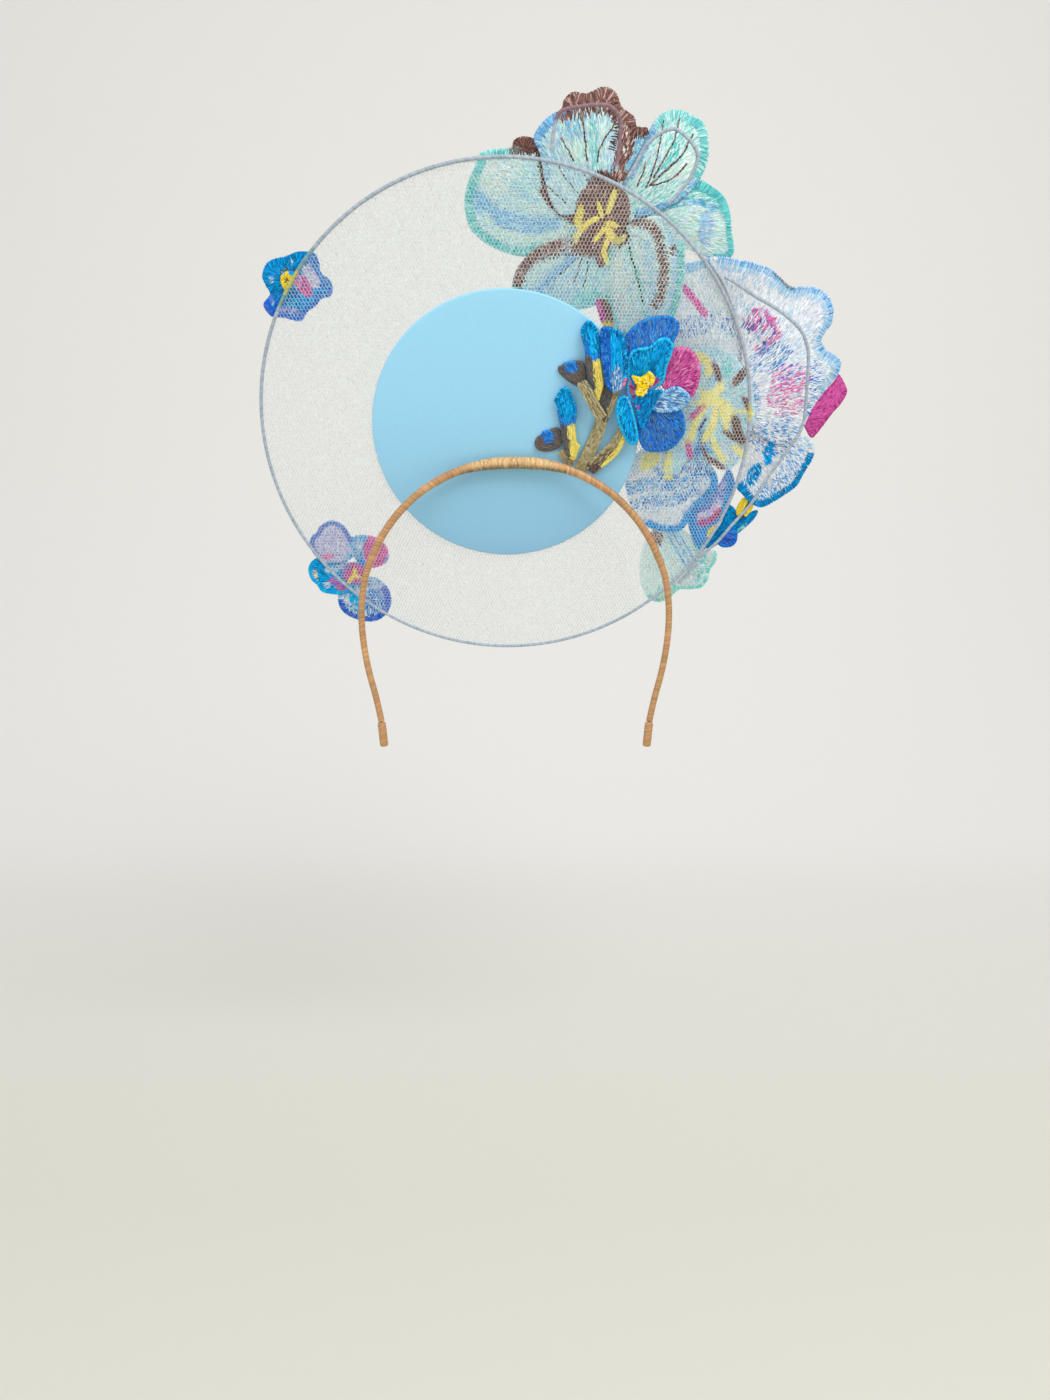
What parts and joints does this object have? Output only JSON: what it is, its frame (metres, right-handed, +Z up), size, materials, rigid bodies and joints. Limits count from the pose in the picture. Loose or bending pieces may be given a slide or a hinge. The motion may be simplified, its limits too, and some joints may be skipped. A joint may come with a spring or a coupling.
{
  "type": "fascinator hat",
  "caption": "Fascinator hat: wrapped headband, leaning round base with net brim and wired rim, embroidered flowers and a freesia spray",
  "frame": {"origin": "underside of the headband at the top of its arch, where it sits on the head", "axes": "+Z up, +Y the way the wearer faces, +X to the wearer's right"},
  "size_m": [0.2985, 0.1051, 0.303],
  "materials": {
    "gold_thread": "satin thread wound round a band",
    "blue_felt": "matt light blue cloth over a stiff round",
    "net": "fine hexagonal net",
    "bound_wire": "wire bound in grey-blue thread",
    "embroidery": "dense thread embroidery with satin edges"
  },
  "bodies": {
    "root": {"band_tip_left": "gold_thread", "band_tip_right": "gold_thread", "brim_wire": "bound_wire", "bud_low": "embroidery", "bud_second": "embroidery", "bud_third": "embroidery", "bud_top": "embroidery", "corner_petal_wire": "bound_wire", "freesia_petal_back": "embroidery", "freesia_petal_fold": "embroidery", "freesia_petal_front": "embroidery", "freesia_petal_left": "embroidery", "freesia_petal_low": "embroidery", "freesia_petal_magenta": "embroidery", "freesia_petal_pale": "embroidery", "freesia_petal_upper": "embroidery", "freesia_stamens": "embroidery", "headband": "gold_thread", "left_heart": "embroidery", "left_petal_lilac": "embroidery", "left_petal_low": "embroidery", "left_petal_magenta": "embroidery", "left_petal_turquoise": "embroidery", "low_petal_royal": "embroidery", "low_petal_turquoise": "embroidery", "low_petal_violet": "embroidery", "low_stamens": "embroidery", "magenta_petal": "embroidery", "mint_petal": "embroidery", "net_brim": "net", "pale_centre": "embroidery", "pale_centre_front": "embroidery", "pale_petal_low": "embroidery", "pale_petal_right": "embroidery", "pale_petal_side": "embroidery", "pale_petal_upper": "embroidery", "pansy_heart": "embroidery", "pansy_petals": "embroidery", "round_base": "blue_felt", "side_wire": "bound_wire", "slip_bud": "embroidery", "stem_branch": "embroidery", "stem_low": "embroidery", "stem_main": "embroidery", "stem_side": "embroidery", "teal_centre": "embroidery", "teal_centre_front": "embroidery", "teal_petal_corner": "embroidery", "teal_petal_left": "embroidery", "teal_petal_low_left": "embroidery", "teal_petal_low_right": "embroidery", "teal_petal_right": "embroidery", "teal_petal_top": "embroidery", "top_petal_wire": "bound_wire"}
  },
  "joints": []
}
